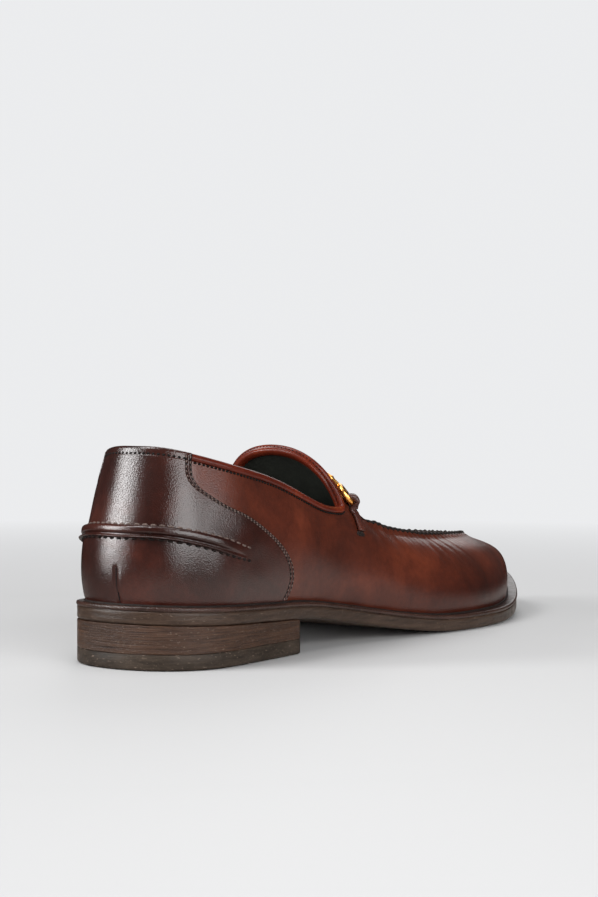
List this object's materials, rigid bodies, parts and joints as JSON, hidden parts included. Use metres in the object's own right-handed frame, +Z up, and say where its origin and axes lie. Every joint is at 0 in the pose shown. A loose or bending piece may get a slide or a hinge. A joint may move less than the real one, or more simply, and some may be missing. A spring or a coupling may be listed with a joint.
{
  "type": "loafer",
  "caption": "Right leather slip-on loafer with a stitched heel counter, a raised moc-toe seam, a bound collar, a metal bit on strap tabs and a stacked heel.",
  "frame": {"origin": "middle of the heel's flat bottom, on the floor", "axes": "+Z up, +Y towards the toe, +X towards the outer side of this right shoe"},
  "size_m": [0.1037, 0.2986, 0.0828],
  "materials": {
    "upper_leather": "burnished, satin gloss",
    "counter_leather": "burnished, glossy",
    "binding_leather": "satin",
    "sock_lining": "matt",
    "welt_leather": "waxed",
    "sole_leather": "waxed edge",
    "stacked_leather": "waxed, layered",
    "top_lift_rubber": "matt",
    "gold_metal": "polished"
  },
  "bodies": {
    "root": {"upper": "upper_leather", "heel_counter": "counter_leather", "topline_binding": "binding_leather", "insole": "sock_lining", "welt": "welt_leather", "outsole": "sole_leather", "heel_stack": "stacked_leather", "top_lift": "top_lift_rubber", "strap_tab_outer": "upper_leather", "strap_tab_inner": "upper_leather", "bit": "gold_metal"}
  },
  "joints": []
}
